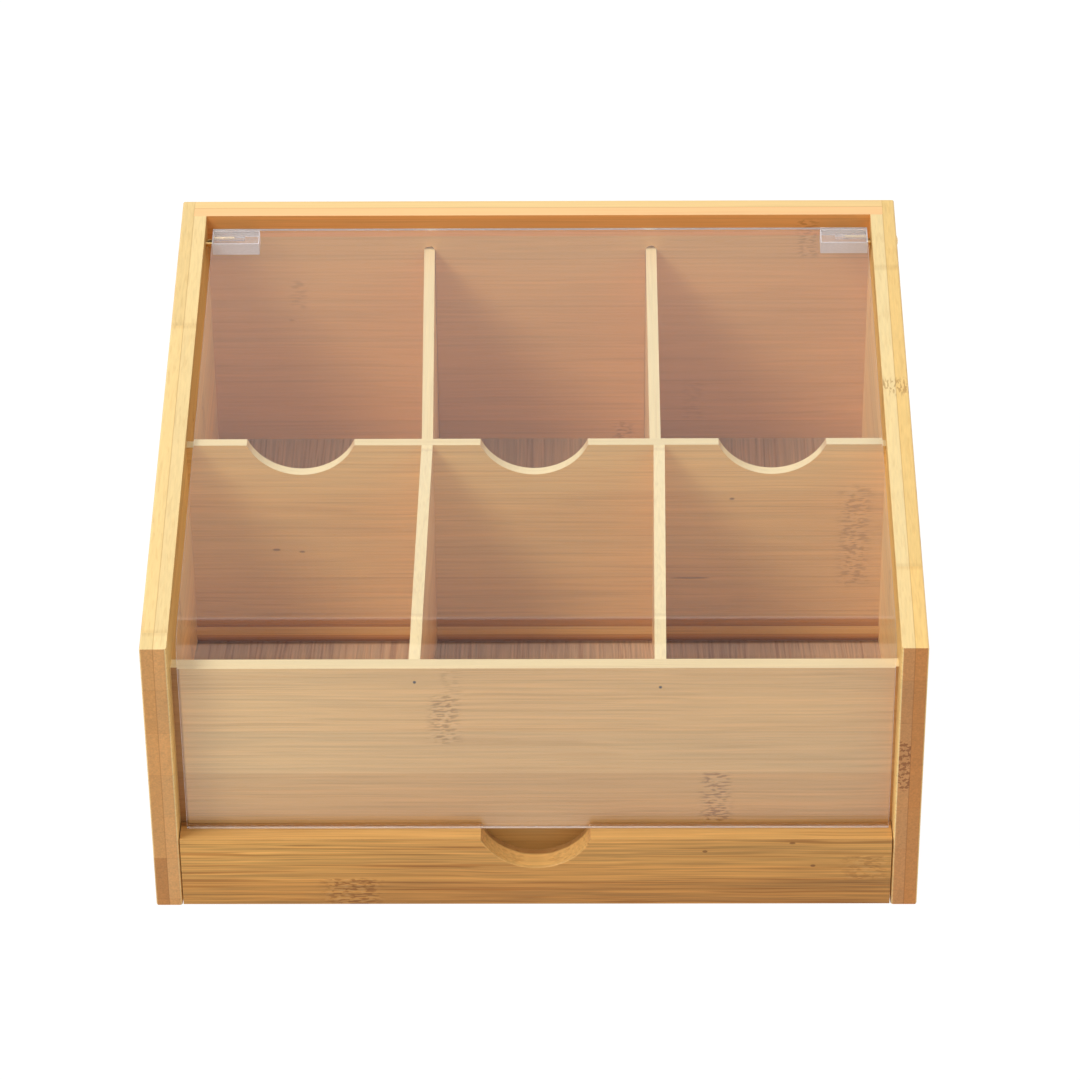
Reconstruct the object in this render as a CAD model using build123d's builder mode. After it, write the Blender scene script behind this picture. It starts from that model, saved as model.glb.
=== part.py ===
"""Tea bag box of bamboo board: six compartments under a hinged, bent clear lid, with a drawer below.

Millimetres, +Z up, the front faces -Y. The origin is the middle of the underside.
"""

from math import atan2, cos, sin, sqrt

from build123d import *
import os

# ---------------------------------------------------------------- driving dimensions
# Case
width = 290.0  # over the side panels
depth = 265.0  # front edges of the side panels to the back face
front_height = 122.0  # side panel at the front, where its top edge starts to rise
back_height = 152.0  # side panel at the back
panel = 10.0  # side and back panels, two bamboo plies each
back_rabbet = 5.0  # depth to which the back panel's ends are let into the side panels
housing = 3.0  # depth of every groove that takes the edge of another board
edge_round = 0.8  # sanded arrises of the outer faces
inner_round = 1.2  # front arrises of the side panels, beside the lid and the drawer

# Compartments
floor_thickness = 5.0
floor_over_drawer = 3.1  # compartment floor's underside above the drawer front
divider_thickness = 4.3
cross_setback = 118.3  # front edges of the case to the cross panel
cross_lid_gap = 0.3  # cross panel's top edge to the lid that lies over it
front_panel_thickness = 5.0
front_panel_drop = 16.9  # front panel's top edge below the front corners of the side panels
front_panel_clearance = 0.4  # front panel's lower edge above the drawer box
divider_back_rise = 3.0  # rear dividers: how much their top edge rises towards the back
divider_slot_play = 0.15  # rear dividers in the back panel's grooves, each side
divider_slot_over = 1.6  # the grooves' round ends reach this much above the dividers

# Where each divider stands, left to right, at its front end and at its rear end
rear_left_at = (-42.0, -44.5)
rear_right_at = (46.0, 46.0)
front_left_at = (-44.6, -42.0)
front_right_at = (46.8, 47.5)

# Finger notches: one cutter for the cross panel and the drawer front
notch_chord = 41.5
notch_depth = 13.8
notch_round = 0.5
scallop_centres = (-90.9, -0.7, 91.2)  # one for each compartment

# Pin nails through the front panel into the front dividers
nail_diameter = 1.2
nail_length = 16.0
nail_drops = (6.4, 8.9)  # left and right nail below the front panel's top edge

# Case bottom and drawer
bottom_thickness = 4.0
bottom_lift = 1.5  # case bottom above the lower edges of the panels
drawer_front_thickness = 11.0
drawer_front_height = 31.5
drawer_floor_gap = 0.4  # drawer front above the table
drawer_front_gap = 0.35  # drawer front to each side panel
drawer_stop_gap = 0.3  # drawer front's back face to the front panel and the case bottom
drawer_side_gap = 1.2  # drawer sides to each side panel
drawer_run_gap = 0.2  # drawer sides above the case bottom
drawer_board = 8.0  # sides, inner front and back of the drawer box
drawer_side_drop = 2.2  # upper edges of the drawer box below that of the drawer front
drawer_rear_gap = 8.0  # drawer back to the back panel
drawer_bottom_thickness = 3.0
drawer_bottom_lift = 3.0  # drawer bottom above the lower edges of the drawer sides
drawer_groove = 3.0  # grooves that take the drawer bottom
drawer_bottom_play = 0.2  # drawer bottom's edges inside the grooves

# Lid: one sheet of acrylic, bent near its front edge
lid_thickness = 2.0
lid_side_gap = 2.2  # to each side panel
lid_shift = 0.7  # the lid sits this much to the right in its play
lid_drop = 2.5  # lid's outer face below the sloping edges of the side panels
lid_rear_gap = 5.0  # lid's rear edge to the back panel
lid_front_setback = 6.0  # front edges of the case to the flap
lid_bend_radius = 10.0  # on the outside of the bend
flap_gap = 0.7  # flap's lower edge above the drawer front

# Hinge: a bored block glued under each rear corner of the lid, turning on a screw
block_length = 19.0
block_depth = 8.5
block_height = 5.5
glue_line = 0.05  # cement between the lid and each block
bore_depth = 13.0
pin_diameter = 3.0
pin_play = 0.05  # pin in the bore, on the radius
pin_ahead = 3.2  # hinge axis ahead of the lid's rear edge, along the lid
pin_below = 2.6  # hinge axis below the lid's underside
pin_reach = 8.8  # pin inside its block, with the lid in the middle of its play
head_diameter = 6.0
head_height = 1.1
driver_slot = (0.7, 0.5)  # cross slot in the screw head: width, depth

# ---------------------------------------------------------------- planes and places that follow
side = width / 2
inner = side - panel
front = -depth / 2
back = depth / 2
back_face = back - panel
slope = (back_height - front_height) / depth
tilt = atan2(back_height - front_height, depth)
board_reach = inner + housing

drawer_front_top = drawer_floor_gap + drawer_front_height
drawer_front_back = front + drawer_front_thickness
bottom_front = drawer_front_back + drawer_stop_gap
bottom_top = bottom_lift + bottom_thickness
floor_under = drawer_front_top + floor_over_drawer
floor_height = floor_under + floor_thickness

lid_left = -inner + lid_side_gap + lid_shift
lid_right = inner - lid_side_gap + lid_shift
flap_face = front + lid_front_setback
flap_back = flap_face + lid_thickness
flap_bottom = drawer_front_top + flap_gap

front_panel_front = drawer_front_back + drawer_stop_gap
front_panel_back = front_panel_front + front_panel_thickness
front_panel_top = front_height - front_panel_drop
front_panel_foot = drawer_front_top - drawer_side_drop + front_panel_clearance
cross_front = front + cross_setback
cross_back = cross_front + divider_thickness


def sloping_edge(y):
    """Height of the side panels' sloping top edge at y."""
    return front_height + slope * (y - front)


def lid_top(y):
    """Height of the lid's outer face at y."""
    return sloping_edge(y) - lid_drop / cos(tilt)


def along_lid(forward, down):
    """Point (y, z) that lies forward of the lid's rear edge, along the lid, and below its outer face."""
    y = back_face - lid_rear_gap - forward * cos(tilt) + down * sin(tilt)
    z = lid_top(back_face - lid_rear_gap) - forward * sin(tilt) - down * cos(tilt)
    return (y, z)


hinge_y, hinge_z = along_lid(pin_ahead, lid_thickness + pin_below)
cross_top = lid_top(cross_front) - lid_thickness / cos(tilt) - cross_lid_gap
notch_radius = ((notch_chord / 2) ** 2 + notch_depth**2) / (2 * notch_depth)

os.makedirs("parts", exist_ok=True)


def save(piece, name):
    """Label a finished piece and write it under its name."""
    piece.label = name
    export_step(piece, f"parts/{name}.step")


def side_view(x):
    """Plane seen from +X: its own X runs back (+Y), its own Y runs up (+Z)."""
    return Plane(origin=(x, 0, 0), x_dir=(0, 1, 0), z_dir=(1, 0, 0))


def front_view(y):
    """Plane seen from the front: its own X runs right (+X), its own Y runs up (+Z)."""
    return Plane(origin=(0, y, 0), x_dir=(1, 0, 0), z_dir=(0, -1, 0))


# ---------------------------------------------------------------- side panels
def side_panel(hand):
    """Side panel, hand -1 for the left one and +1 for the right one, with the grooves on its inner face."""
    inner_face = hand * inner
    with BuildPart() as built:
        with BuildSketch(side_view(inner_face)):
            with BuildLine():
                Polyline((front, 0), (back, 0), (back, back_height), (front, front_height), close=True)
            make_face()
        extrude(amount=hand * panel)
        outer = built.faces().sort_by(Axis.X)[-1 if hand > 0 else 0]
        rear = built.faces().sort_by(Axis.Y)[-1]
        fillet(outer.edges() + rear.edges().filter_by(Axis.X), edge_round)
        arris = built.edges().filter_by(Axis.Z).sort_by_distance((inner_face, front, front_height / 2))[0]
        fillet(arris, inner_round)
        # the back panel's rabbet
        with BuildSketch(side_view(inner_face)):
            with Locations((back - panel / 2, back_height / 2)):
                Rectangle(panel, back_height * 2)
        extrude(amount=hand * back_rabbet, mode=Mode.SUBTRACT)
        # grooves for the compartment floor, the case bottom, the cross panel and the front panel
        with BuildSketch(side_view(inner_face)):
            with BuildLine():
                Polyline(
                    (front_panel_front, front_panel_foot),
                    (front_panel_back, front_panel_foot),
                    (front_panel_back, floor_under),
                    (back_face, floor_under),
                    (back_face, floor_height),
                    (cross_back, floor_height),
                    (cross_back, cross_top),
                    (cross_front, cross_top),
                    (cross_front, floor_height),
                    (front_panel_back, floor_height),
                    (front_panel_back, front_panel_top),
                    (front_panel_front, front_panel_top),
                    close=True,
                )
            make_face()
            with BuildLine():
                Polyline(
                    (bottom_front, bottom_lift),
                    (back_face, bottom_lift),
                    (back_face, bottom_top),
                    (bottom_front, bottom_top),
                    close=True,
                )
            make_face()
        extrude(amount=hand * housing, mode=Mode.SUBTRACT)
        # the hinge screw's hole
        with BuildSketch(side_view(inner_face)):
            with Locations((hinge_y, hinge_z)):
                Circle(pin_diameter / 2)
        extrude(amount=hand * panel, mode=Mode.SUBTRACT)
        if hand < 0:
            # the left screw's head is let in flush
            with BuildSketch(side_view(hand * side)):
                with Locations((hinge_y, hinge_z)):
                    Circle(head_diameter / 2)
            extrude(amount=-hand * head_height, mode=Mode.SUBTRACT)
    return built.part


save(side_panel(-1), "left_side")
save(side_panel(+1), "right_side")

# ---------------------------------------------------------------- back panel
back_half = side - back_rabbet
slot_width = divider_thickness + 2 * divider_slot_play
divider_back_top = cross_top + divider_back_rise

with BuildPart() as back_panel:
    with BuildSketch(side_view(-back_half)):
        with BuildLine():
            Polyline(
                (back_face, 0),
                (back, 0),
                (back, back_height),
                (back_face, sloping_edge(back_face)),
                close=True,
            )
        make_face()
    extrude(amount=2 * back_half)
    rear_face = back_panel.faces().sort_by(Axis.Y)[-1]
    fillet(rear_face.edges().filter_by(Axis.X), edge_round)
    # grooves for the floor and the case bottom
    with BuildSketch(front_view(back_face)):
        with Locations((0, floor_height - floor_thickness / 2)):
            Rectangle(2 * board_reach, floor_thickness)
        with Locations((0, bottom_lift + bottom_thickness / 2)):
            Rectangle(2 * board_reach, bottom_thickness)
    extrude(amount=-housing, mode=Mode.SUBTRACT)
    # routed grooves for the rear dividers, with round upper ends
    with BuildSketch(front_view(back_face)):
        for at in (rear_left_at, rear_right_at):
            slot_top = divider_back_top + divider_slot_over - slot_width / 2
            with Locations((at[1], (floor_height + slot_top) / 2)):
                Rectangle(slot_width, slot_top - floor_height)
            with Locations((at[1], slot_top)):
                Circle(slot_width / 2)
    extrude(amount=-housing, mode=Mode.SUBTRACT)
save(back_panel.part, "back_panel")

# ---------------------------------------------------------------- compartment floor and case bottom
with BuildPart() as compartment_floor:
    with BuildSketch(Plane.XY.offset(floor_under)):
        with Locations((0, (front_panel_back + back_face + housing) / 2)):
            Rectangle(2 * board_reach, back_face + housing - front_panel_back)
    extrude(amount=floor_thickness)
save(compartment_floor.part, "compartment_floor")

with BuildPart() as case_bottom:
    with BuildSketch(Plane.XY.offset(bottom_lift)):
        with Locations((0, (bottom_front + back_face + housing) / 2)):
            Rectangle(2 * board_reach, back_face + housing - bottom_front)
    extrude(amount=bottom_thickness)
save(case_bottom.part, "case_bottom")

# ---------------------------------------------------------------- front panel and its pin nails
nail_places = (
    (front_left_at[0], front_panel_top - nail_drops[0]),
    (front_right_at[0], front_panel_top - nail_drops[1]),
)

with BuildPart() as front_panel:
    with BuildSketch(front_view(front_panel_front)):
        with Locations((0, (front_panel_foot + front_panel_top) / 2)):
            Rectangle(2 * board_reach, front_panel_top - front_panel_foot)
    extrude(amount=-front_panel_thickness)
    with BuildSketch(front_view(front_panel_front)):
        with Locations(*nail_places):
            Circle(nail_diameter / 2)
    extrude(amount=-front_panel_thickness, mode=Mode.SUBTRACT)
save(front_panel.part, "front_panel")

with BuildPart() as front_panel_nails:
    with BuildSketch(front_view(front_panel_front)):
        with Locations(*nail_places):
            Circle(nail_diameter / 2)
    extrude(amount=-nail_length)
save(front_panel_nails.part, "front_panel_nails")

# ---------------------------------------------------------------- cross panel with its three scallops
with BuildPart() as cross_panel:
    with BuildSketch(front_view(cross_front)):
        with Locations((0, (floor_height + cross_top) / 2)):
            Rectangle(2 * board_reach, cross_top - floor_height)
        for x in scallop_centres:
            with Locations((x, cross_top - notch_depth + notch_radius)):
                Circle(notch_radius, mode=Mode.SUBTRACT)
    extrude(amount=-divider_thickness)
save(cross_panel.part, "cross_panel")


# ---------------------------------------------------------------- dividers
def divider(front_x, rear_x, front_y, rear_y, front_top, rear_top):
    """Board on the floor from (front_x, front_y) to (rear_x, rear_y), with a straight, sloping top edge."""
    half = divider_thickness / 2
    with BuildPart() as built:
        with BuildSketch(Plane.XY.offset(floor_height)):
            with BuildLine():
                Polyline(
                    (front_x - half, front_y),
                    (front_x + half, front_y),
                    (rear_x + half, rear_y),
                    (rear_x - half, rear_y),
                    close=True,
                )
            make_face()
        extrude(amount=max(front_top, rear_top) - floor_height + divider_thickness)
        top_slope = (rear_top - front_top) / (rear_y - front_y)
        top = Plane(origin=(0, front_y, front_top), x_dir=(1, 0, 0), z_dir=(0, -top_slope, 1))
        split(bisect_by=top, keep=Keep.BOTTOM)
    return built.part


def rear_divider(at):
    """Rear divider: from the cross panel into its groove in the back panel."""
    run = back_face - cross_back
    rear_x = at[1] + (at[1] - at[0]) / run * housing
    rear_top = divider_back_top + divider_back_rise / run * housing
    return divider(at[0], rear_x, cross_back, back_face + housing, cross_top, rear_top)


def front_divider(at, nail_place):
    """Front divider: from the front panel, where a pin nail holds it, to the cross panel."""
    with BuildPart() as built:
        add(divider(at[0], at[1], front_panel_back, cross_front, front_panel_top, cross_top))
        with BuildSketch(front_view(front_panel_back)):
            with Locations(nail_place):
                Circle(nail_diameter / 2)
        extrude(amount=-(nail_length - front_panel_thickness), mode=Mode.SUBTRACT)
    return built.part


save(rear_divider(rear_left_at), "divider_rear_left")
save(rear_divider(rear_right_at), "divider_rear_right")
save(front_divider(front_left_at, nail_places[0]), "divider_front_left")
save(front_divider(front_right_at, nail_places[1]), "divider_front_right")

# ---------------------------------------------------------------- drawer
drawer_under = bottom_top + drawer_run_gap
drawer_side_outer = inner - drawer_side_gap
drawer_side_inner = drawer_side_outer - drawer_board
drawer_side_height = drawer_front_top - drawer_side_drop - drawer_under
drawer_rear = back_face - drawer_rear_gap
drawer_back_face = drawer_rear - drawer_board
drawer_bottom_under = drawer_under + drawer_bottom_lift
drawer_bottom_reach = drawer_side_inner + drawer_groove
drawer_bottom_rear = drawer_back_face + drawer_groove
drawer_inner_back = drawer_front_back + drawer_board
drawer_bottom_front = drawer_inner_back - drawer_groove

with BuildPart() as drawer_front:
    with BuildSketch(front_view(front)):
        with Locations((0, drawer_floor_gap + drawer_front_height / 2)):
            Rectangle(2 * (inner - drawer_front_gap), drawer_front_height)
        with Locations((0, drawer_front_top - notch_depth + notch_radius)):
            Circle(notch_radius, mode=Mode.SUBTRACT)
    extrude(amount=-drawer_front_thickness)
    notch_arris = drawer_front.edges().filter_by(GeomType.CIRCLE).sort_by(Axis.Y)[0]
    fillet(notch_arris, notch_round)
save(drawer_front.part, "drawer_front")

with BuildPart() as drawer_inner_front:
    with BuildSketch(front_view(drawer_front_back)):
        with Locations((0, drawer_under + drawer_side_height / 2)):
            Rectangle(2 * drawer_side_outer, drawer_side_height)
    extrude(amount=-drawer_board)
    with BuildSketch(front_view(drawer_inner_back)):
        with Locations((0, drawer_bottom_under + drawer_bottom_thickness / 2)):
            Rectangle(2 * drawer_bottom_reach, drawer_bottom_thickness)
    extrude(amount=drawer_groove, mode=Mode.SUBTRACT)
save(drawer_inner_front.part, "drawer_inner_front")


def drawer_side(hand):
    """Drawer side, hand -1 for the left one and +1 for the right one, with the drawer bottom's groove."""
    with BuildPart() as built:
        with BuildSketch(side_view(hand * drawer_side_inner)):
            with Locations(((drawer_inner_back + drawer_rear) / 2, drawer_under + drawer_side_height / 2)):
                Rectangle(drawer_rear - drawer_inner_back, drawer_side_height)
        extrude(amount=hand * drawer_board)
        with BuildSketch(side_view(hand * drawer_side_inner)):
            with Locations(
                (
                    (drawer_inner_back + drawer_bottom_rear) / 2,
                    drawer_bottom_under + drawer_bottom_thickness / 2,
                )
            ):
                Rectangle(drawer_bottom_rear - drawer_inner_back, drawer_bottom_thickness)
        extrude(amount=hand * drawer_groove, mode=Mode.SUBTRACT)
    return built.part


save(drawer_side(-1), "drawer_left_side")
save(drawer_side(+1), "drawer_right_side")

with BuildPart() as drawer_back:
    with BuildSketch(front_view(drawer_back_face)):
        with Locations((0, drawer_under + drawer_side_height / 2)):
            Rectangle(2 * drawer_side_inner, drawer_side_height)
    extrude(amount=-drawer_board)
    with BuildSketch(front_view(drawer_back_face)):
        with Locations((0, drawer_bottom_under + drawer_bottom_thickness / 2)):
            Rectangle(2 * drawer_side_inner, drawer_bottom_thickness)
    extrude(amount=-drawer_groove, mode=Mode.SUBTRACT)
save(drawer_back.part, "drawer_back")

with BuildPart() as drawer_bottom:
    with BuildSketch(Plane.XY.offset(drawer_bottom_under)):
        board_front = drawer_bottom_front + drawer_bottom_play
        board_rear = drawer_bottom_rear - drawer_bottom_play
        with Locations((0, (board_front + board_rear) / 2)):
            Rectangle(2 * (drawer_bottom_reach - drawer_bottom_play), board_rear - board_front)
    extrude(amount=drawer_bottom_thickness)
save(drawer_bottom.part, "drawer_bottom")

# ---------------------------------------------------------------- lid
outer_corner = (flap_face, lid_top(flap_face))
inner_corner = (flap_back, lid_top(flap_back) - lid_thickness / cos(tilt))

with BuildPart() as lid:
    with BuildSketch(side_view(lid_left)):
        with BuildLine():
            Polyline(
                along_lid(0, 0),
                outer_corner,
                (flap_face, flap_bottom),
                (flap_back, flap_bottom),
                inner_corner,
                along_lid(0, lid_thickness),
                close=True,
            )
        make_face()
    extrude(amount=lid_right - lid_left)
    inside = lid.edges().filter_by(Axis.X).sort_by_distance((0, *inner_corner))[0]
    fillet(inside, lid_bend_radius - lid_thickness)
    outside = lid.edges().filter_by(Axis.X).sort_by_distance((0, *outer_corner))[0]
    fillet(outside, lid_bend_radius)
save(lid.part, "lid")


# ---------------------------------------------------------------- hinge blocks and screws
def hinge_block(hand):
    """Block glued under the lid's rear corner, with a blind bore for the screw's plain shank."""
    edge = lid_left if hand < 0 else lid_right
    top = lid_thickness + glue_line
    with BuildPart() as built:
        with BuildSketch(side_view(edge)):
            with BuildLine():
                Polyline(
                    along_lid(0, top),
                    along_lid(block_depth, top),
                    along_lid(block_depth, top + block_height),
                    along_lid(0, top + block_height),
                    close=True,
                )
            make_face()
        extrude(amount=-hand * block_length)
        with BuildSketch(side_view(edge)):
            with Locations((hinge_y, hinge_z)):
                Circle(pin_diameter / 2 + pin_play)
        extrude(amount=-hand * bore_depth, mode=Mode.SUBTRACT)
    return built.part


save(hinge_block(-1), "hinge_block_left")
save(hinge_block(+1), "hinge_block_right")


def hinge_screw(hand):
    """Screw through the side panel: domed head outside, plain shank as the hinge pin."""
    seat = hand * (side if hand > 0 else side - head_height)
    pin_length = panel + lid_side_gap + pin_reach
    dome = (head_height**2 + (head_diameter / 2) ** 2) / (2 * head_height)
    with BuildPart() as built:
        with BuildSketch(side_view(seat)):
            with Locations((hinge_y, hinge_z)):
                Circle(pin_diameter / 2)
        extrude(amount=-hand * pin_length)
        tip = built.edges().filter_by(GeomType.CIRCLE).sort_by(Axis.X)[0 if hand > 0 else -1]
        chamfer(tip, pin_diameter / 6)
        # the head: a cap of a sphere
        with BuildSketch(Plane(origin=(seat, hinge_y, hinge_z), x_dir=(hand, 0, 0), z_dir=(0, 0, 1))):
            with BuildLine():
                halfway = head_height - dome + sqrt(dome**2 - (head_diameter / 4) ** 2)
                Line((0, 0), (head_height, 0))
                ThreePointArc((head_height, 0), (halfway, head_diameter / 4), (0, head_diameter / 2))
                Line((0, head_diameter / 2), (0, 0))
            make_face()
        revolve(axis=Axis((0, hinge_y, hinge_z), (1, 0, 0)))
        # its cross slot
        with BuildSketch(side_view(seat + hand * head_height)):
            with Locations((hinge_y, hinge_z)):
                Rectangle(head_diameter / 2, driver_slot[0])
                Rectangle(driver_slot[0], head_diameter / 2)
        extrude(amount=-hand * driver_slot[1], mode=Mode.SUBTRACT)
    return built.part


save(hinge_screw(-1), "hinge_screw_left")
save(hinge_screw(+1), "hinge_screw_right")
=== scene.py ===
"""Looks of the tea bag box: bamboo boards, a bent clear lid on hinge blocks, brass screws and pin nails."""

from math import cos, sin

import bpy
from mathutils import Matrix, Vector


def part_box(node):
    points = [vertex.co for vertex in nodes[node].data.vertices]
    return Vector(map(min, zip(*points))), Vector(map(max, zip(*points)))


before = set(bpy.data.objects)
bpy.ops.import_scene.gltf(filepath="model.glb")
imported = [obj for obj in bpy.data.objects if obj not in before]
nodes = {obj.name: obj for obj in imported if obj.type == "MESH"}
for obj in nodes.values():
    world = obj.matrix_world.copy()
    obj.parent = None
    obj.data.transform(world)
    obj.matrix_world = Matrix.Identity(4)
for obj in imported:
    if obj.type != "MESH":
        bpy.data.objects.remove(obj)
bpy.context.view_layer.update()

X, Y, Z = (1.0, 0.0, 0.0), (0.0, 1.0, 0.0), (0.0, 0.0, 1.0)
millimetres = 1000.0  # in a metre
mix_a, mix_b, mix_result = 6, 7, 2  # the colour sockets of a Mix node


# ---------------------------------------------------------------- shader maths
class Wire:
    """An output socket of a node tree. Expressions on numbers add Math nodes."""

    def __init__(self, tree, socket):
        self.tree = tree
        self.socket = socket

    def math(self, operation, *values, clamp=False):
        settings = {"operation": operation, "use_clamp": clamp}
        return self.tree.node("ShaderNodeMath", settings, values)[0]

    def __add__(self, other):
        return self.math("ADD", self, other)

    def __radd__(self, other):
        return self.math("ADD", other, self)

    def __sub__(self, other):
        return self.math("SUBTRACT", self, other)

    def __rsub__(self, other):
        return self.math("SUBTRACT", other, self)

    def __mul__(self, other):
        return self.math("MULTIPLY", self, other)

    def __rmul__(self, other):
        return self.math("MULTIPLY", other, self)

    def __truediv__(self, other):
        return self.math("DIVIDE", self, other)

    def __pow__(self, other):
        return self.math("POWER", self, other)

    def __abs__(self):
        return self.math("ABSOLUTE", self)

    def floor(self):
        return self.math("FLOOR", self)

    def held(self):
        """The value held between 0 and 1."""
        return self.math("ADD", self, 0.0, clamp=True)

    def above(self, low, high):
        """0 below low, 1 above high and a smooth rise between. It falls where low is the larger."""
        falls = low > high
        ends = (1.0, 0.0) if falls else (0.0, 1.0)
        span = (high, low) if falls else (low, high)
        settings = {"interpolation_type": "SMOOTHSTEP"}
        return self.tree.node("ShaderNodeMapRange", settings, (self, *span, *ends))[0]

    def between(self, low, high, soft):
        """1 between low and high and 0 outside, with borders that reach soft to either side."""
        return self.above(low - soft, low + soft) * self.above(high + soft, high - soft)


class Tree:
    """A node tree that is built by one call for each node."""

    def __init__(self, tree):
        self.nodes = tree.nodes
        self.links = tree.links
        self.nodes.clear()

    def node(self, kind, settings=None, inputs=()):
        """Add a node: its settings first, then its inputs, by place or by name. Returns its outputs."""
        made = self.nodes.new(kind)
        for name, value in (settings or {}).items():
            setattr(made, name, value)
        pairs = inputs.items() if isinstance(inputs, dict) else enumerate(inputs)
        for key, value in pairs:
            if isinstance(value, Wire):
                self.links.new(value.socket, made.inputs[key])
            else:
                made.inputs[key].default_value = value
        return Outputs(self, made)

    # vectors
    def scaled(self, vector, by):
        return self.node("ShaderNodeVectorMath", {"operation": "MULTIPLY"}, (vector, by))[0]

    def dot(self, vector, axis):
        return self.node("ShaderNodeVectorMath", {"operation": "DOT_PRODUCT"}, (vector, axis))["Value"]

    def joined(self, x, y, z):
        return self.node("ShaderNodeCombineXYZ", None, (x, y, z))[0]

    def place(self):
        """The place on the object, in millimetres."""
        return self.scaled(self.node("ShaderNodeTexCoord")["Object"], (millimetres,) * 3)

    def normal(self):
        return self.node("ShaderNodeTexCoord")["Normal"]

    # colours
    def mixed(self, factor, a, b, blend="MIX"):
        """Colour a with b over it by factor."""
        given = {"Factor": factor, mix_a: colour(a), mix_b: colour(b)}
        return self.node("ShaderNodeMix", {"data_type": "RGBA", "blend_type": blend}, given)[mix_result]

    def shaded(self, a, value):
        """Colour a times a value."""
        return self.node("ShaderNodeVectorMath", {"operation": "SCALE"}, {0: a, "Scale": value})[0]

    def tinged(self, a, factor, by):
        """Colour a, turned by factor to itself times another colour."""
        return self.mixed(factor, a, self.mixed(1.0, a, by, "MULTIPLY"))

    # textures
    def noise(self, vector, scale=1.0, detail=2.0, roughness=0.5):
        given = {"Vector": vector, "Scale": scale, "Detail": detail, "Roughness": roughness}
        return self.node("ShaderNodeTexNoise", None, given)["Fac"]

    def chance(self, vector):
        """A random value for each cell, from whole numbers."""
        return self.node("ShaderNodeTexWhiteNoise", {"noise_dimensions": "3D"}, (vector,))["Value"]

    # shaders
    def blended(self, factor, first, second):
        return self.node("ShaderNodeMixShader", None, (factor, first, second))[0]

    def surface(self, shader):
        self.node("ShaderNodeOutputMaterial", None, (shader,))


class Outputs:
    """The outputs of one node, by number or by name."""

    def __init__(self, tree, node):
        self.tree = tree
        self.node = node

    def __getitem__(self, key):
        return Wire(self.tree, self.node.outputs[key])


def colour(value):
    """Red, green and blue with their fourth value added. A wire stays as it is."""
    return (*value, 1.0) if isinstance(value, tuple) and len(value) == 3 else value


def material(name):
    """A new material and its empty tree."""
    made = bpy.data.materials.new(name)
    made.use_nodes = True
    return made, Tree(made.node_tree)


def dress(node_name, made):
    """Put a material on a CAD node."""
    slots = nodes[node_name].data.materials
    slots.clear()
    slots.append(made)


# ---------------------------------------------------------------- bamboo
PALE_FACE = (0.84, 0.55, 0.26)
FRONT_FACE = (0.83, 0.52, 0.22)
WARM_FACE = (0.72, 0.38, 0.105)
DARK_FACE = (0.50, 0.31, 0.15)
PALE_EDGE = (0.95, 0.78, 0.45)
GOLDEN_EDGE = (0.74, 0.45, 0.16)
END_GRAIN = (0.68, 0.37, 0.15)

# what a colour is multiplied by
GLUE = (0.55, 0.38, 0.22)
OUTER_PLY = (0.99, 0.86, 0.60)
WARMER_CANE = (1.0, 0.88, 0.70)
DARK_HAIR = (0.62, 0.45, 0.30)
JOINT_DASH = (0.46, 0.32, 0.20)
SPECK = (0.35, 0.25, 0.18)
END_DOT = (0.50, 0.36, 0.26)
# painted shade for long edges behind the lid's flap
PAINTED_EDGE_SHADE = (0.42, 0.33, 0.28)
LIGHT_DASH = (0.90, 0.72, 0.42)  # this one is mixed in, not multiplied by

# cells of noise in a millimetre: (along the grain, on the other two axes)
FINE_FIBRES = (0.022, 1.3)
FIBRE_BANDS = (0.009, 0.55)
BROAD_TONES = (0.004, 0.10)
HAIRS = (0.008, 0.95)
DASHES = (0.34, 1.25)

# how much the streaks change the tone
FIBRE_DEPTH, BAND_DEPTH, BROAD_DEPTH = 0.42, 0.20, 0.14
HAIR_DEPTH = 0.26

strip_width = 20.0  # mm, of one pressed strip


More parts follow.
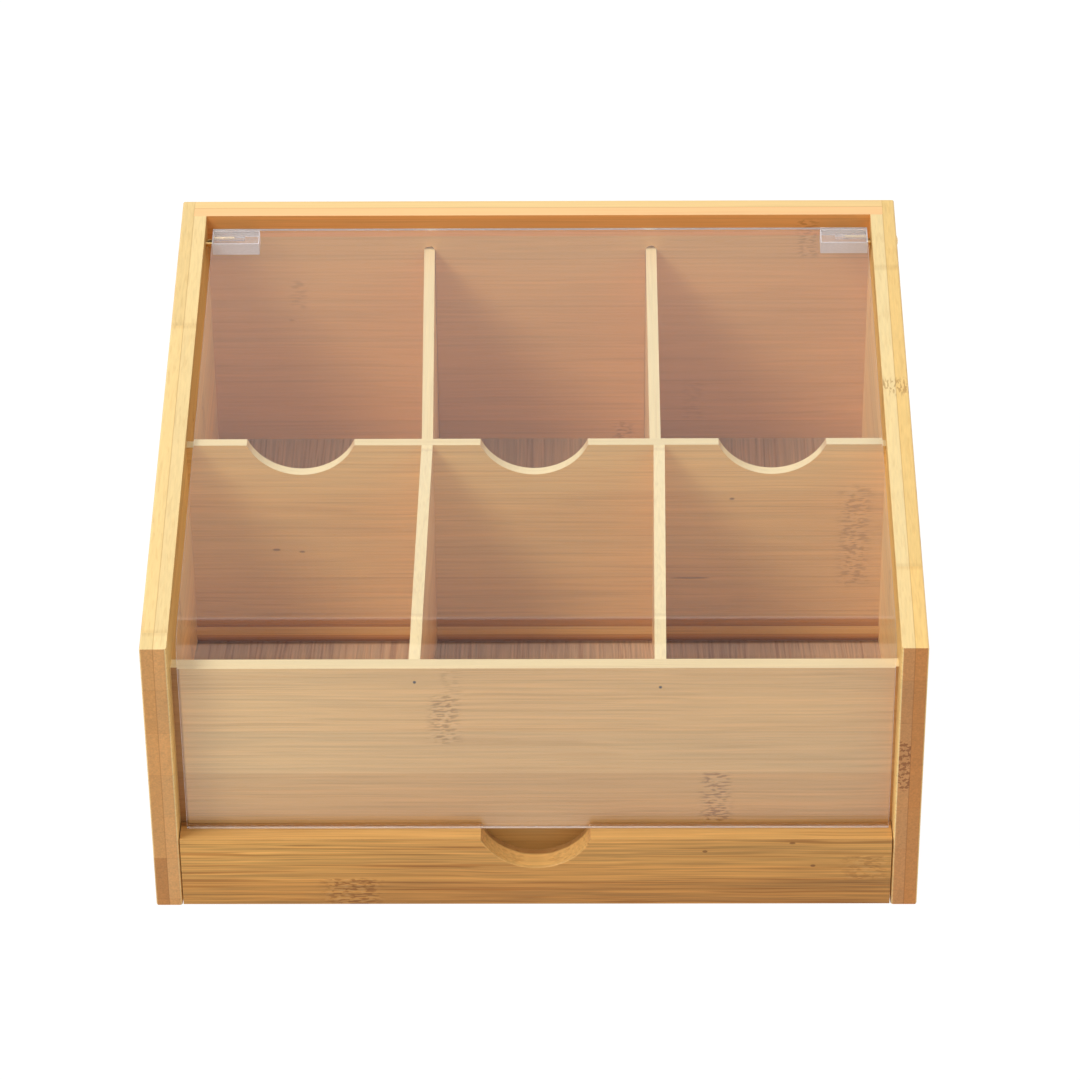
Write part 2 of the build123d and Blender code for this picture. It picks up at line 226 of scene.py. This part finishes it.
class Bamboo:
    """The look of one board of pressed bamboo strips.

    Places are in millimetres on the board's own axes: u along the grain, v across it and w through the
    thickness. plies is where two plies meet on w, and how much more golden the outer one is. strips_from is
    a border between two strips on v.
    """

    def __init__(self, t, grain, across, thick, plies, seed, strips_from):
        self.t = t
        self.plies = plies
        self.seed = seed
        self.strips_from = strips_from
        place, normal = t.place(), t.normal()
        self.u = t.dot(place, grain)
        self.v = t.dot(place, across)
        self.w = t.dot(place, thick)

        # which kind of surface this is
        self.on_face = abs(t.dot(normal, thick)).above(0.55, 0.85)
        self.on_end = abs(t.dot(normal, grain)).above(0.80, 0.97)

        # strips side by side, each its own piece of cane
        self.strip = ((self.v - strips_from) / strip_width).floor()
        self.outer_ply = (self.w / plies[0]).above(0.9995, 1.0005) if plies else 0.0
        self.draw = t.chance(t.joined(self.strip, self.outer_ply, seed))
        self.second_draw = t.chance(t.joined(self.strip, self.outer_ply, seed + 7.3))

        # the same place among the fibres, which wander a little and differ from strip to strip
        cells = t.joined(self.u * 0.02, self.v * 0.03, self.w * 0.03 + seed)
        bend = (t.noise(cells, 1.0, 1.0) - 0.5) * 1.6
        self.u_here = self.u + self.draw * 300.0
        self.v_here = self.v + bend + seed * 13.0
        self.w_here = self.w + bend + seed * 5.0

        self.fine = self.fibres(FINE_FIBRES, 1.0, 0.6)
        self.bands = self.fibres(FIBRE_BANDS, 2.0)
        self.broad = self.fibres(BROAD_TONES, 1.0)
        self.hairs = self.fibres(HAIRS, 1.0, shift=40.0).above(0.56, 0.66) * (1.0 - 0.8 * self.on_end)
        self.dashes = 0.0

    def fibres(self, cells, detail, roughness=0.5, shift=None):
        """Noise drawn out along the grain and fine on the other two axes."""
        along, across = cells
        v = self.v_here * across
        if shift:
            v = v + shift
        vector = self.t.joined(self.u_here * along, v, self.w_here * across)
        return self.t.noise(vector, 1.0, detail, roughness)

    def cane(self, face, edge, end, depth):
        """A mean for the kind of surface, times a tone for each strip, times streaks of a given depth."""
        t = self.t
        tone = t.mixed(self.on_face, edge, face)
        tone = t.mixed(self.on_end, tone, end)
        if self.plies:
            tone = t.tinged(tone, self.plies[1] * self.outer_ply, OUTER_PLY)
        tone = t.shaded(tone, 0.93 + 0.12 * self.draw)
        warmth = 0.35 * self.second_draw + 0.5 * (self.broad - 0.3).held()
        tone = t.tinged(tone, warmth, WARMER_CANE)
        contrast = depth * (0.5 + 0.5 * (self.on_face + self.on_end))
        streaks = FIBRE_DEPTH * (self.fine - 0.5) + BAND_DEPTH * (self.bands - 0.5)
        streaks = streaks + BROAD_DEPTH * (self.broad - 0.5)
        tone = t.shaded(tone, 1.0 + contrast * streaks)
        return t.tinged(tone, HAIR_DEPTH * (contrast * self.hairs), DARK_HAIR)

    def joints(self, tone, marks):
        """Joints of the cane: short wavy dashes, close together.

        Each mark is (along, across, half its length, half its width, strength).
        """
        t = self.t
        wave = (t.noise(t.joined(self.u * 0.25, self.v * 0.5, self.seed), 1.0, 1.0) - 0.5) * 3.0
        cells = t.joined((self.u + wave) * DASHES[0], self.v_here * DASHES[1], self.w_here * DASHES[1])
        pattern = t.noise(cells, 1.0, 1.0, 0.5)
        dark_dash, light_dash = pattern.above(0.50, 0.58), pattern.above(0.45, 0.34)
        near = 0.0
        for along, at, half_length, half_width, strength in marks:
            reach = abs((self.u - along + wave * 0.8) / half_length).above(1.25, 0.35)
            side = abs((self.v - at) / half_width).above(1.08, 0.88)
            near = near + reach * side * strength
        near = near.held()
        tone = t.tinged(tone, 0.80 * near * dark_dash, JOINT_DASH)
        self.dashes = near * dark_dash
        return t.mixed(0.16 * near * light_dash, tone, LIGHT_DASH)

    def specks(self, tone, specks):
        """Single dark fibres, each (along, across, half its length, half its width)."""
        for along, at, half_length, half_width in specks:
            spot = abs((self.u - along) / half_length) ** 2.0 + abs((self.v - at) / half_width) ** 2.0
            tone = self.t.tinged(tone, 0.8 * spot.above(1.3, 0.5), SPECK)
        return tone

    def glue_lines(self, tone):
        """Thin lines between the plies and between the strips."""
        if self.plies:
            tone = self.t.tinged(tone, 0.45 * abs(self.w - self.plies[0]).above(0.26, 0.08), GLUE)
        from_middle = abs((self.v - self.strips_from) / strip_width - self.strip - 0.5)
        return self.t.tinged(tone, 0.18 * from_middle.above(0.485, 0.497), GLUE)

    def part(self, name):
        """1 on a part of the board: its face, its outer ply or its inner ply."""
        if name == "face":
            return self.on_face
        return self.outer_ply if name == "outer ply" else 1.0 - self.outer_ply

    def paint_tones_and_light(self, tone, tones_and_painted_light):
        """Parts of another tone, real tones and painted light and shade, each (axis, from, to, softness of
        the border, multiplier, part).
        """
        for axis, low, high, soft, by, part in tones_and_painted_light:
            place = self.u if axis == "along" else self.v
            tone = self.t.tinged(tone, place.between(low, high, soft) * self.part(part), by)
        return tone

    def end_dots(self, tone, low, high):
        """A joint of the cane, seen as dots in the inner ply's end, from low to high across the board."""
        cells = self.t.joined(self.seed, self.v * 0.80, self.w * 0.62)
        dots = self.t.noise(cells, 1.0, 1.0, 0.5).above(0.50, 0.55)
        dots = 0.85 * dots * self.v.between(low, high, 0.5)
        return self.t.tinged(tone, dots * (1.0 - self.outer_ply) * self.on_end, END_DOT)

    def painted_shade_past(self, tone, from_w):
        """Painted shade: the long edges are darker past a place on w."""
        past = self.w.above(from_w - 0.5, from_w + 0.5) * (1.0 - self.on_face) * (1.0 - self.on_end)
        return self.t.tinged(tone, 0.9 * past, PAINTED_EDGE_SHADE)

    def varnish(self, tone):
        """A satin varnish that lets the fibres be felt."""
        relief = self.fine * 0.5 + self.bands * 0.4 - self.hairs * 0.3 - self.dashes * 0.4
        bump = self.t.node("ShaderNodeBump", None, {"Strength": 0.12, "Distance": 0.0003, "Height": relief})
        rough = 0.44 + 0.10 * (self.bands - 0.5) + 0.10 * self.hairs
        given = {"Base Color": tone, "Roughness": rough, "IOR": 1.45, "Normal": bump[0]}
        self.t.surface(self.t.node("ShaderNodeBsdfPrincipled", None, given)[0])


def board(name, grain, across, thick, face=PALE_FACE, edge=PALE_EDGE, end=END_GRAIN, plies=None,
          marks=(), specks=(), tones_and_painted_light=(), dotted=None, painted_shade_past=None, seed=0.0, strips_from=0.0, depth=1.0):
    """Dress a CAD node in bamboo. The arguments are those of Bamboo and of its methods."""
    made, t = material(f"bamboo_{name}")
    look = Bamboo(t, grain, across, thick, plies, seed, strips_from)
    tone = look.cane(face, edge, end, depth)
    if marks:
        tone = look.joints(tone, marks)
    tone = look.specks(tone, specks)
    tone = look.glue_lines(tone)
    tone = look.paint_tones_and_light(tone, tones_and_painted_light)
    if dotted:
        tone = look.end_dots(tone, *dotted)
    if painted_shade_past:
        tone = look.painted_shade_past(tone, painted_shade_past)
    look.varnish(tone)
    dress(name, made)


def cane_joints(places, half_length=5.5, half_width=9.5, strength=0.8):
    """Joints at (along, across) places, one size."""
    return [(along, at, half_length, half_width, strength) for along, at in places]


def strip_tone_and_shade(low, high, by, part="face", soft=0.2):
    """A strip of another tone, from low to high across the grain; some calls use it for painted shade."""
    return ("across", low, high, soft, by, part)


def painted_light_length(low, high, by, soft):
    """A length of painted light and shade, from low to high along the grain."""
    return ("along", low, high, soft, by, "face")


# Side panels: the grain runs front to back and the strips lie one above another
side = {"face": (0.93, 0.63, 0.24), "edge": (0.95, 0.74, 0.37)}
board("left_side", Y, Z, X, **side, end=(0.73, 0.385, 0.14), plies=(-140.0, 0.35), seed=1.0, strips_from=3.0,
      marks=cane_joints([(-40, 53), (62, 93), (-96, 13), (96, 33), (20, 113), (-75, 93)]),
      tones_and_painted_light=[strip_tone_and_shade(-5.0, 23.0, (0.79, 0.70, 0.60), "outer ply")])
board("right_side", Y, Z, X, **side, end=(0.60, 0.285, 0.10), plies=(140.0, 0.8), seed=2.0, strips_from=7.0,
      marks=cane_joints([(55, 57), (-60, 97), (100, 117), (-10, 17), (15, 137)]), dotted=(55.0, 78.5))

# Back panel: its strips lie one above another too
board("back_panel", X, Z, Y, face=(0.84, 0.49, 0.18), edge=(0.95, 0.76, 0.44), plies=(127.5, 0.7), seed=3.0,
      strips_from=9.0, depth=0.55, tones_and_painted_light=[strip_tone_and_shade(140.0, 160.0, (1.10, 0.88, 0.74), "inner ply")],
      marks=[(-99, 112, 4.0, 7.0, 0.35), (-103, 100, 2.5, 1.0, 0.5), (64, 59, 5.0, 9.5, 0.25),
             (110, 139, 5.0, 9.5, 0.5), (-60, 20, 5.0, 9.5, 0.7), (35, 39, 5.0, 9.5, 0.7)])

# Boards of the compartments
board("front_panel", X, Z, Y, face=FRONT_FACE, seed=4.0, strips_from=15.5, depth=0.85,
      marks=[(-34, 81, 6.5, 11.5, 0.75), (-31, 98, 4.5, 6.0, 0.35), (68, 44, 6.5, 12.0, 0.9)],
      # painted shade: the lower part of the face is darker
      tones_and_painted_light=[strip_tone_and_shade(20.0, 55.5, (0.88, 0.83, 0.775)),
              # painted reflection: the face is lighter towards the left end
              painted_light_length(-200.0, -70.0, (1.10, 1.17, 1.24), 60.0),
              # painted shadow: both ends are darker beside the lid's flap
              painted_light_length(-140.0, -131.8, (0.50, 0.40, 0.36), 0.4),
              painted_light_length(133.6, 140.0, (0.70, 0.60, 0.52), 0.3)])
board("cross_panel", X, Z, Y, face=(0.92, 0.61, 0.23), seed=5.0, strips_from=7.4, depth=0.8,
      marks=[(124, 87, 7.0, 24.0, 0.6)],
      specks=[(-102, 81, 1.6, 0.6), (-92, 80, 1.2, 0.5), (60, 67, 8.0, 0.4), (76, 105, 1.0, 0.6)],
      # painted shade: the foot is darker in three steps, where shade falls by the floor
      tones_and_painted_light=[strip_tone_and_shade(30.0, 47.4, (0.82, 0.64, 0.48), soft=0.3),
              strip_tone_and_shade(30.0, 44.0, (0.76, 0.62, 0.52), soft=1.2),
              strip_tone_and_shade(30.0, 41.8, (0.60, 0.52, 0.44), soft=0.7)])
for name, seed, joint_at in (("divider_rear_left", 6.0, 40), ("divider_rear_right", 7.0, 40),
                             ("divider_front_left", 8.0, -60), ("divider_front_right", 9.0, -60)):
    board(name, Y, Z, X, seed=seed, strips_from=10.0, marks=cane_joints([(joint_at, 80)], strength=0.5))
board("compartment_floor", Y, X, Z, face=DARK_FACE, seed=10.0, strips_from=2.0, depth=2.0,
      marks=cane_joints([(-105, -80), (40, -100), (-104, 32), (60, 12), (-107, 92), (20, 112)]),
      # painted shade: a dark band across the floor by the cross panel's foot
      tones_and_painted_light=[painted_light_length(-17.8, -11.0, (0.45, 0.36, 0.28), 0.6)])
board("case_bottom", Y, X, Z, seed=11.0, strips_from=5.0,
      marks=cane_joints([(-60, -85), (30, -5), (70, 75), (-20, 95)]))

# Drawer
board("drawer_front", X, Z, Y, face=WARM_FACE, edge=GOLDEN_EDGE, seed=12.0, strips_from=11.8, depth=2.4,
      marks=[(-70, 6.5, 12.0, 6.5, 0.85), (125, 18, 10.0, 6.0, 0.45)],
      # painted shade: the rear of the top edge is darker, where the flap's shadow falls
      specks=[(64, 26, 1.0, 0.6), (97, 30, 1.2, 0.5), (105, 19, 1.0, 0.6)], painted_shade_past=-124.2,
      # painted shade: darker towards the bottom, in two steps
      tones_and_painted_light=[strip_tone_and_shade(-5.0, 11.8, (0.80, 0.715, 0.625)),
              strip_tone_and_shade(11.8, 20.0, (0.95, 0.92, 0.90)),
              # painted light and shade: lighter towards the left end, darker towards the right end
              painted_light_length(-200.0, -70.0, (1.10, 1.14, 1.12), 50.0),
              painted_light_length(70.0, 200.0, (0.93, 0.93, 0.91), 40.0)])
drawer = {"edge": GOLDEN_EDGE, "strips_from": 9.0}
for name, seed in (("drawer_left_side", 13.0), ("drawer_right_side", 14.0)):
    board(name, Y, Z, X, face=WARM_FACE, **drawer, seed=seed, marks=cane_joints([(20, 19)]))
board("drawer_back", X, Z, Y, face=WARM_FACE, **drawer, seed=15.0, marks=cane_joints([(45, 19)]))
# painted shade: its face is dark, as shade falls on it behind the notch
board("drawer_inner_front", X, Z, Y, face=(0.42, 0.22, 0.06), **drawer, seed=17.0,
      marks=cane_joints([(-85, 19)]))
board("drawer_bottom", X, Y, Z, face=WARM_FACE, seed=16.0,
      marks=cane_joints([(-50, -70), (10, 10), (60, 90), (-10, -110)]))


# ---------------------------------------------------------------- clear acrylic
MATT_EDGE = (0.86, 0.83, 0.86)
LET_THROUGH = (0.97, 0.97, 0.97)  # by a face
LET_THROUGH_SAWN = (0.50, 0.48, 0.46)  # by a sawn edge
acrylic_ior = 1.49
lid_tilt = 0.1127  # radians, of the lid's flat part, down to the front
lid_back = (0.0, cos(lid_tilt), sin(lid_tilt))  # along the lid, to its rear edge
lid_low, lid_high = (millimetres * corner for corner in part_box("lid"))


def clear_acrylic(name, tint, matt_share, haze):
    """Clear sheet with sawn edges.

    Light and soft light go straight through it, and only sight is bent and mirrored by it. The function
    given for how much of a surface is whitish matt gives a sawn edge on the lid, and on the hinge blocks a
    painted highlight along the arrises and a painted haze elsewhere; haze is how much of the sight such matt
    stops.
    A sawn edge shades what lies under it, and the faces hardly do.
    """
    made, t = material(name)
    given = {"Base Color": colour(tint), "Roughness": 0.0, "IOR": acrylic_ior, "Transmission Weight": 1.0}
    glass = t.node("ShaderNodeBsdfPrincipled", None, given)[0]
    given = {"Base Color": colour(MATT_EDGE), "Roughness": 0.45, "IOR": acrylic_ior}
    matt = t.node("ShaderNodeBsdfPrincipled", None, given)[0]
    place = t.place()
    scratches = t.noise(t.scaled(place, (0.9, 2.0, 2.0)), 1.0, 2.0)
    edges = matt_share(t, place, t.normal())
    sight = t.blended(edges * (haze + 0.3 * (scratches - 0.5)), glass, matt)
    clear = t.node("ShaderNodeBsdfTransparent", None, (colour(LET_THROUGH),))[0]
    dim = t.node("ShaderNodeBsdfTransparent", None, (colour(LET_THROUGH_SAWN),))[0]
    through = t.blended(edges, clear, dim)
    path = t.node("ShaderNodeLightPath")
    soft = t.blended(path["Is Diffuse Ray"], sight, through)
    t.surface(t.blended(path["Is Shadow Ray"], soft, through))
    return made


def lid_edges(t, place, normal):
    """The lid's side edges, its rear edge and, more faintly, the flap's lower edge."""
    sides = abs(t.dot(normal, X)).above(0.4, 0.6)
    at_rear = t.dot(place, Y).above(lid_high[1] - 0.4, lid_high[1] - 0.3)
    rear = at_rear * abs(t.dot(normal, Y)).above(0.7, 0.8)
    foot = t.dot(place, Z).above(lid_low[2] + 0.02, lid_low[2] + 0.01)
    return (sides + rear + 0.5 * foot).held()


def block_rims(name):
    """The arrises of a hinge block, along its upright faces, where light gathers: whitish matt there is a
    painted highlight.
    """
    low, high = (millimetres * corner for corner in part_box(name))
    middle = (low + high) / 2
    half_length = (high - low).x / 2
    half_depth = 4.25  # mm, half the block's width along the lid
    rim = 0.45  # mm, how wide an arris shows
    inside = 0.14  # how much whitish matt, a painted haze, lies over the rest of the block

    def rims(t, place, normal):
        across = abs(t.dot(place, X) - middle.x).above(half_length - rim, half_length - rim / 2)
        offset = abs(t.dot(place, lid_back) - middle.dot(Vector(lid_back)))
        along = offset.above(half_depth - rim, half_depth - rim / 2)
        return inside + (1.0 - inside) * (across + along).held()

    return rims


dress("lid", clear_acrylic("clear_lid", (0.985, 0.975, 0.975), lid_edges, 0.75))
for name in ("hinge_block_left", "hinge_block_right"):
    dress(name, clear_acrylic(f"clear_{name}", (0.99, 0.99, 0.99), block_rims(name), 0.85))


# ---------------------------------------------------------------- metals
BRASS = (0.88, 0.62, 0.26)
STEEL = (0.12, 0.10, 0.09)


def turned_metal(name, tint, roughness):
    """Turned metal: fine rings across the X axis, as a lathe leaves them."""
    made, t = material(name)
    place = t.place()
    rings = t.noise(t.scaled(place, (9.0, 0.6, 0.6)), 1.0, 2.0)
    dull = t.noise(place, 0.5, 3.0)
    tone = t.mixed((dull - 0.35).held(), tint, tuple(0.72 * c for c in tint))
    bump = t.node("ShaderNodeBump", None, {"Strength": 0.15, "Distance": 0.00005, "Height": rings})
    given = {"Base Color": tone, "Metallic": 1.0, "Roughness": roughness + 0.15 * rings, "Normal": bump[0]}
    t.surface(t.node("ShaderNodeBsdfPrincipled", None, given)[0])
    return made


for name in ("hinge_screw_left", "hinge_screw_right"):
    dress(name, turned_metal(f"brass_{name}", BRASS, 0.20))
dress("front_panel_nails", turned_metal("steel_nails", STEEL, 0.45))


# ---------------------------------------------------------------- floor, world, lamps
WHITE = (1.0, 1.0, 1.0)
FLOOR_GREY = (0.70, 0.70, 0.70)


def table_top():
    """A pale floor. Sight and mirror rays see it almost white, with the box's shadow left in."""
    reach = 3.0  # metres, each way
    corners = [(-reach, -reach, 0), (reach, -reach, 0), (reach, reach, 0), (-reach, reach, 0)]
    mesh = bpy.data.meshes.new("floor")
    mesh.from_pydata(corners, [], [(0, 1, 2, 3)])
    floor = bpy.data.objects.new("floor", mesh)
    bpy.context.scene.collection.objects.link(floor)
    made, t = material("pale_floor")
    path = t.node("ShaderNodeLightPath")
    seen = path["Is Camera Ray"]
    for ray in ("Is Glossy Ray", "Is Transmission Ray"):
        seen = seen.math("MAXIMUM", seen, path[ray])
    shown_level, shown_share = 1.08, 0.9  # how bright the white is, and how much of it is seen
    plain = t.node("ShaderNodeBsdfDiffuse", None, (colour(FLOOR_GREY),))[0]
    white = t.node("ShaderNodeEmission", None, (colour(WHITE), shown_level))[0]
    t.surface(t.blended(seen * shown_share, plain, white))
    mesh.materials.append(made)


table_top()


def studio():
    """World: white behind the box. What gloss mirrors is white low down all round and dark overhead.

    The dark part has straight edges, parallel to the box's front, and a bright line along its rear one.
    """
    world = bpy.data.worlds.new("studio")
    bpy.context.scene.world = world
    world.use_nodes = True
    t = Tree(world.node_tree)
    direction = t.node("ShaderNodeTexCoord")["Generated"]
    rise = t.dot(direction, Z)
    behind = t.dot(direction, Y)
    path = t.node("ShaderNodeLightPath")
    rear_slope = 1.1707  # rise over depth at the dark part's rear edge
    mirrored_white, mirrored_dark, line_gain = 1.40, 0.03, 0.8
    fades_from = 0.71  # the rise above which the white fades
    past_rear = rise - rear_slope * behind
    rear_edge = past_rear.above(-0.0004, 0.0004)
    front_edge = (rise + behind).above(-0.12, 0.12)
    dark = rear_edge * front_edge * rise.above(0.55, 0.62)
    line = past_rear.above(-0.0011, -0.0008) * (1.0 - rear_edge) * behind.above(0.0, 0.1)
    fading = (12.0 * (rise - fades_from)).held()
    mirrored = (mirrored_white - fading + line_gain * line) * (1.0 - dark) + mirrored_dark * dark
    soft = 0.39 + 0.28 * rise.held()  # what lights the box, more of it from overhead
    straight = path["Is Camera Ray"].math("MAXIMUM", path["Is Camera Ray"], path["Is Transmission Ray"])
    level = soft + path["Is Glossy Ray"] * (mirrored - soft)
    level = level + straight * (1.0 - level)
    back = t.node("ShaderNodeBackground", None, (colour(WHITE), level))[0]
    t.node("ShaderNodeOutputWorld", None, (back,))


studio()


lamp_aim = Vector((0.0, 0.0, 0.08))  # the middle of the box
lamp_width = 1.0  # metres


def lamp(name, at, watts):
    """A square soft box at a place, turned to the box."""
    light = bpy.data.lights.new(name, "AREA")
    light.shape = "SQUARE"
    light.size = lamp_width
    light.energy = watts
    placed = bpy.data.objects.new(name, light)
    placed.location = at
    placed.rotation_euler = (lamp_aim - Vector(at)).to_track_quat("-Z", "Y").to_euler()
    bpy.context.scene.collection.objects.link(placed)


lamp("key", at=(-1.5, -0.7, 2.1), watts=36.0)
lamp("fill", at=(1.9, -0.9, 1.3), watts=5.5)


# ---------------------------------------------------------------- camera
camera_at = (0.0194, -1.5288, 1.1716)  # metres
sensor_width, lens = 36.0, 158.76  # mm
tilt_down, turned, rolled = 0.6217, -0.0120, -0.0089  # radians
ahead = Vector((sin(turned), cos(turned), 0.0))
right = Vector((cos(turned), -sin(turned), 0.0))
looking = ahead * cos(tilt_down) - Vector(Z) * sin(tilt_down)
upright = ahead * sin(tilt_down) + Vector(Z) * cos(tilt_down)
right, upright = right * cos(rolled) + upright * sin(rolled), upright * cos(rolled) - right * sin(rolled)
pointing = Matrix((right, upright, -looking)).transposed().to_4x4()
eye = bpy.data.objects.new("camera", bpy.data.cameras.new("camera"))
eye.data.sensor_width = sensor_width
eye.data.lens = lens
eye.matrix_world = Matrix.Translation(camera_at) @ pointing
bpy.context.scene.collection.objects.link(eye)
bpy.context.scene.camera = eye

bpy.context.scene.view_settings.view_transform = "Standard"
